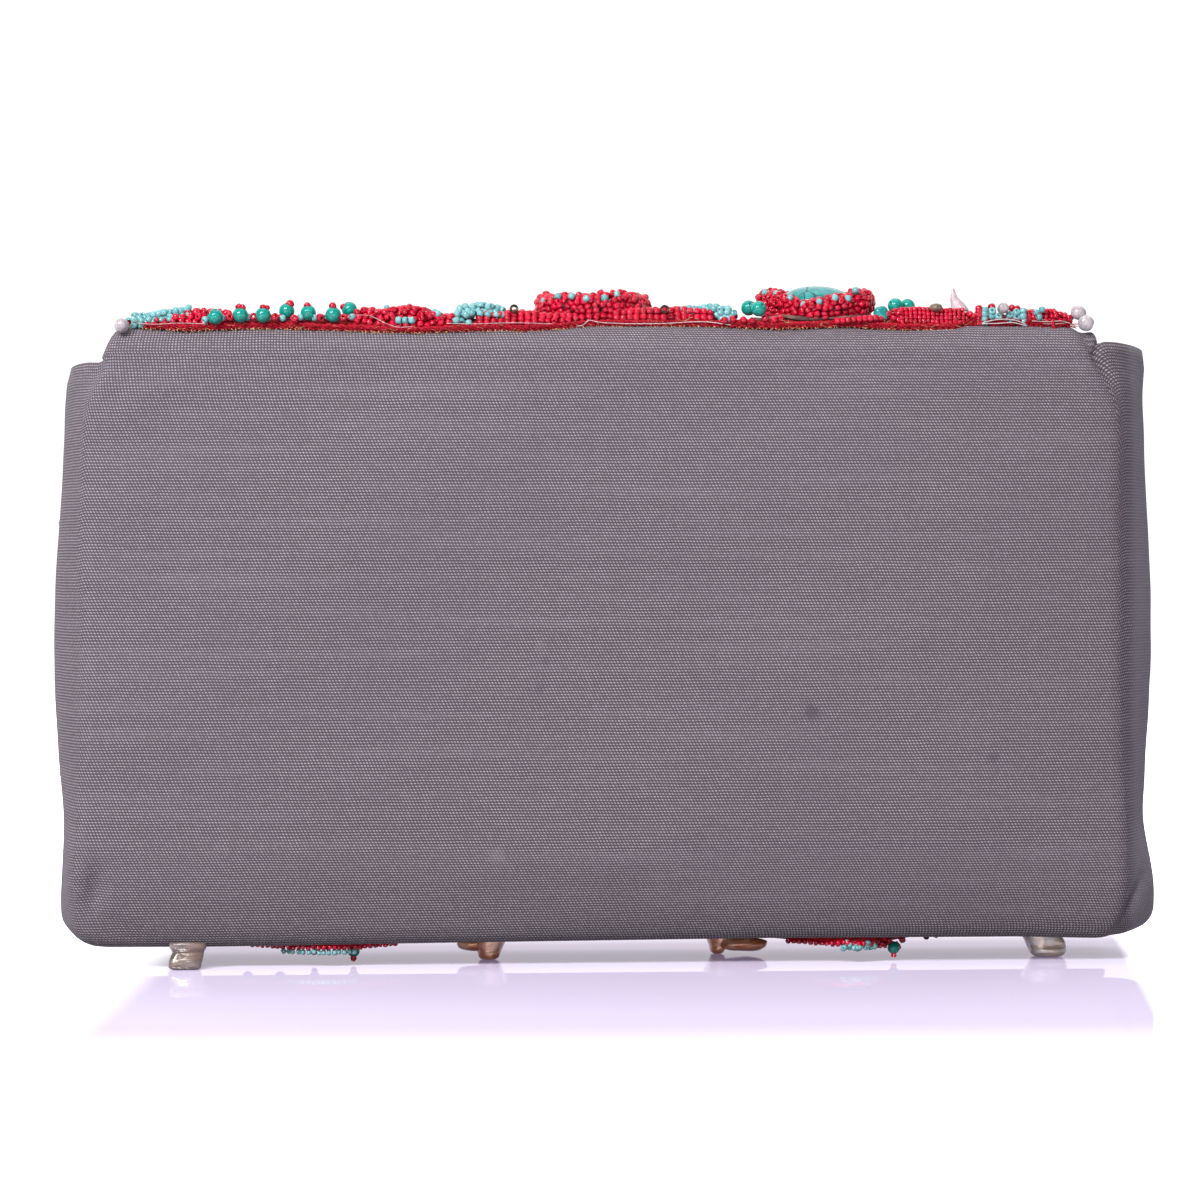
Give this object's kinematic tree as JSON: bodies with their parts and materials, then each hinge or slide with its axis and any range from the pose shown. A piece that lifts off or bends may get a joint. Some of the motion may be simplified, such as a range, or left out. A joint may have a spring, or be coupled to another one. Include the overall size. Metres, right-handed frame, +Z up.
{
  "type": "boho bag",
  "caption": "Padded canvas box clutch with a red felt flap covered in seed beads, veined turquoise domes in beaded rings and teal beads, standing on mother-of-pearl feet.",
  "frame": {"origin": "on the floor, under the middle of the bag's bounding box", "axes": "+X along the bag's width, to the right as seen from behind; +Y towards the beaded front, away from the plain canvas back; +Z up"},
  "size_m": [0.2984, 0.0498, 0.1815],
  "materials": {
    "canvas": "plain weave, washed and slightly stained",
    "felt": "felt with a frayed cut edge",
    "red_seeds": "opaque glossy seed beads",
    "turquoise_seeds": "opaque glossy seed beads",
    "turquoise": "polished, with dark veins",
    "suede": "suede",
    "teal": "polished round beads",
    "nacre": "polished mother of pearl",
    "old_brass": "dark old brass",
    "brown": "satin",
    "grey": "polished",
    "pearl": "pearly"
  },
  "bodies": {
    "root": {"bag_body": "canvas", "bead_cluster": "turquoise_seeds", "bead_mound_left": "turquoise_seeds", "bead_mound_middle": "red_seeds", "bead_rows_back": "red_seeds", "bead_rows_end": "red_seeds", "bead_rows_far": "red_seeds", "bead_rows_right": "red_seeds", "beadwork_front": "red_seeds", "bezel_1": "red_seeds", "bezel_2": "red_seeds", "brass_bead_1": "old_brass", "brass_bead_2": "old_brass", "brass_bead_3": "old_brass", "brown_bead": "brown", "cabochon_1": "turquoise", "cabochon_2": "turquoise", "edge_bead": "brown", "edge_pearl_1": "pearl", "edge_pearl_2": "pearl", "edge_pearl_3": "pearl", "felt_panel": "felt", "flap_canvas": "canvas", "grey_stone": "grey", "metal_bead_1": "old_brass", "metal_bead_2": "old_brass", "pearl_1": "pearl", "pearl_2": "pearl", "pearl_3": "pearl", "scallop_bead_1": "teal", "scallop_bead_2": "teal", "scallop_bead_3": "teal", "scallop_bead_4": "teal", "scallop_bead_5": "teal", "shell_foot_1": "nacre", "shell_foot_2": "nacre", "shell_foot_3": "nacre", "shell_foot_4": "nacre", "shell_spike": "pearl", "suede_patch": "suede", "teal_bead_1": "teal", "teal_bead_10": "teal", "teal_bead_11": "teal", "teal_bead_2": "teal", "teal_bead_3": "teal", "teal_bead_4": "teal", "teal_bead_5": "teal", "teal_bead_6": "teal", "teal_bead_7": "teal", "teal_bead_8": "teal", "teal_bead_9": "teal", "turquoise_chip": "turquoise", "turquoise_ladder": "turquoise_seeds", "turquoise_loop": "turquoise_seeds"}
  },
  "joints": []
}
